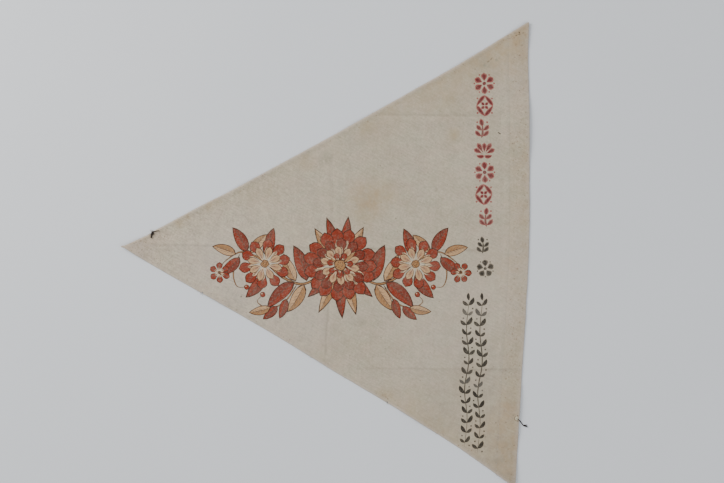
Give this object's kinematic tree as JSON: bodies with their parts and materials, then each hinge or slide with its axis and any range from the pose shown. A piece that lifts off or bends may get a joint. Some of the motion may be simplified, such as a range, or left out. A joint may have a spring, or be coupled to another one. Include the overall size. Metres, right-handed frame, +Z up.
{
  "type": "triangular cloth flag",
  "caption": "Triangular cotton pennant lying flat, with narrow rolled hems, a flat staff sleeve along its hoist and soft fold creases.",
  "frame": {"origin": "middle of the outline, on the surface that the pennant lies on", "axes": "+Z up, out of the cloth; +Y along the hoist towards its top corner; +X from the point towards the hoist"},
  "size_m": [0.609, 0.6966, 0.0053],
  "materials": {
    "cotton_cloth": "unbleached plain-weave cotton, aged, matt"
  },
  "bodies": {
    "root": {"flag_cloth": "cotton_cloth"}
  },
  "joints": []
}
